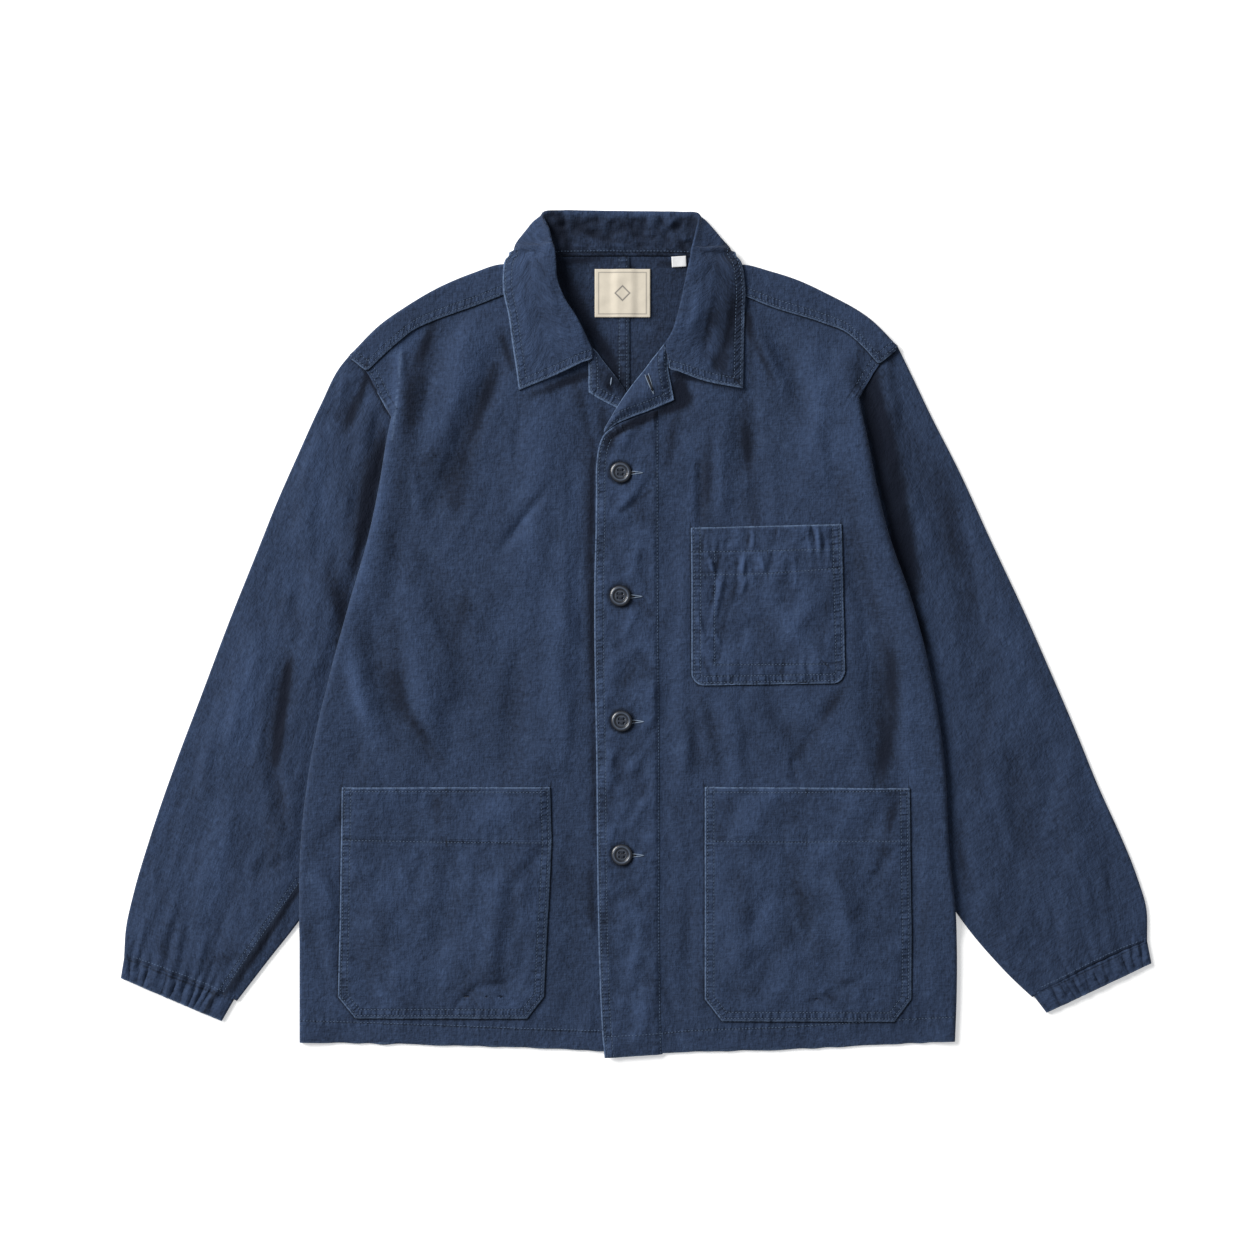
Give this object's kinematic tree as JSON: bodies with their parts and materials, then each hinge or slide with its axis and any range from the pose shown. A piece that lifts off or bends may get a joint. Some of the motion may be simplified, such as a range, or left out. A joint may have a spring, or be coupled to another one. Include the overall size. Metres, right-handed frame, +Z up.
{
  "type": "coach jacket",
  "caption": "Cotton work-style coach jacket laid flat, with pointed collar, buttoned front, patch pockets and gathered elastic cuffs.",
  "frame": {"origin": "centre of the jacket's box, on the surface that it lies on", "axes": "+X towards the wearer's left sleeve, +Y from the hem to the collar, +Z up from the surface"},
  "size_m": [0.9494, 0.7781, 0.0197],
  "materials": {
    "cloth": "garment-dyed cotton canvas, washed",
    "button": "four-hole resin, satin",
    "label": "plain cotton tape",
    "tag": "woven tape"
  },
  "bodies": {
    "root": {"back_left": "cloth", "back_right": "cloth", "front_left": "cloth", "front_right": "cloth", "placket": "cloth", "lapel_left": "cloth", "lapel_right": "cloth", "collar": "cloth", "sleeve_left": "cloth", "sleeve_right": "cloth", "cuff_left": "cloth", "cuff_right": "cloth", "pocket_chest": "cloth", "pocket_lower_left": "cloth", "pocket_lower_right": "cloth", "button_1": "button", "button_2": "button", "button_3": "button", "button_4": "button", "label_neck": "label", "label_size": "tag"}
  },
  "joints": []
}
